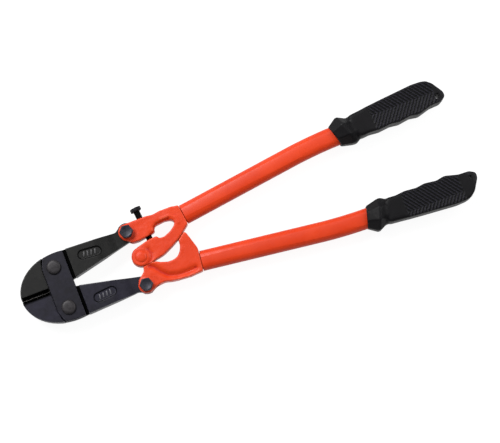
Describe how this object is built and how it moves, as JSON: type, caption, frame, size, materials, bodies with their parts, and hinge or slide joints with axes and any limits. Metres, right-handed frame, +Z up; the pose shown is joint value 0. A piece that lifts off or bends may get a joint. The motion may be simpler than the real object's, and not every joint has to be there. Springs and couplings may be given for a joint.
{
  "type": "bolt cutters",
  "caption": "Compound-lever bolt cutters with two pivoted cutting jaws between strap plates, forked handle heads, oval steel tubes, moulded grips and a stop-adjusting screw.",
  "frame": {"origin": "centre of the base of the bounding box with the tool closed and lying flat", "axes": "+X from the jaws towards the grips, +Y from the lower handle to the upper one (the one with the adjusting screw), +Z up, away from the surface the tool lies on"},
  "size_m": [0.4534, 0.1246, 0.032],
  "materials": {
    "jaw_steel": "black oxide, satin",
    "plate_steel": "black oxide, satin",
    "jaw_bolt_steel": "dark oxide, satin",
    "bolt_steel": "dark blued, satin",
    "screw_steel": "black oxide",
    "red_paint": "semi-gloss orange-red enamel",
    "grip_plastic": "matt moulded vinyl"
  },
  "bodies": {
    "strap_plates": {"front_strap_plate": "plate_steel", "rear_strap_plate": "plate_steel", "upper_jaw_pivot_bolt": "jaw_bolt_steel", "upper_jaw_lock_washer": "bolt_steel", "upper_jaw_pivot_nut": "bolt_steel", "lower_jaw_pivot_bolt": "jaw_bolt_steel", "lower_jaw_lock_washer": "bolt_steel", "lower_jaw_pivot_nut": "bolt_steel"},
    "upper_jaw": {"upper_jaw": "jaw_steel"},
    "lower_jaw": {"lower_jaw": "jaw_steel"},
    "upper_handle": {"upper_handle_head": "red_paint", "upper_handle_tube": "red_paint", "upper_grip": "grip_plastic", "upper_tail_bolt": "bolt_steel", "upper_tail_lock_washer": "bolt_steel", "upper_tail_nut": "bolt_steel", "center_pivot_pin": "red_paint"},
    "lower_handle": {"lower_handle_head": "red_paint", "lower_handle_tube": "red_paint", "lower_grip": "grip_plastic", "lower_tail_bolt": "bolt_steel", "lower_tail_lock_washer": "bolt_steel", "lower_tail_nut": "bolt_steel"},
    "adjusting_screw": {"adjusting_screw": "screw_steel"}
  },
  "joints": [
    {"name": "upper_jaw_hinge", "type": "hinge", "parent": "strap_plates", "child": "upper_jaw", "pos_m": [-0.18648, 0.0206, 0.016], "axis": [0, 0, 1], "range_deg": [-7.5, 0]},
    {"name": "lower_jaw_hinge", "type": "hinge", "parent": "strap_plates", "child": "lower_jaw", "pos_m": [-0.18648, -0.0206, 0.016], "axis": [0, 0, 1], "range_deg": [0, 7.5]},
    {"name": "upper_handle_hinge", "type": "hinge", "parent": "upper_jaw", "child": "upper_handle", "pos_m": [-0.10928, 0.0274, 0.016], "axis": [0, 0, 1], "range_deg": [0, 52.5]},
    {"name": "centre_pivot_hinge", "type": "hinge", "parent": "upper_handle", "child": "lower_handle", "pos_m": [-0.10448, 0, 0.016], "axis": [0, 0, 1], "range_deg": [-90, 0]},
    {"name": "adjusting_screw_turn", "type": "hinge", "parent": "upper_handle", "child": "adjusting_screw", "pos_m": [-0.09206, 0.03, 0.016], "axis": [-0.0872, 0.9962, 0], "range_deg": [-450, 450]}
  ],
  "couplings": [
    {"joint": "upper_jaw_hinge", "follows": "upper_handle_hinge", "ratio": -0.14286},
    {"joint": "lower_jaw_hinge", "follows": "upper_handle_hinge", "ratio": 0.14286},
    {"joint": "centre_pivot_hinge", "follows": "upper_handle_hinge", "ratio": -1.7143}
  ]
}
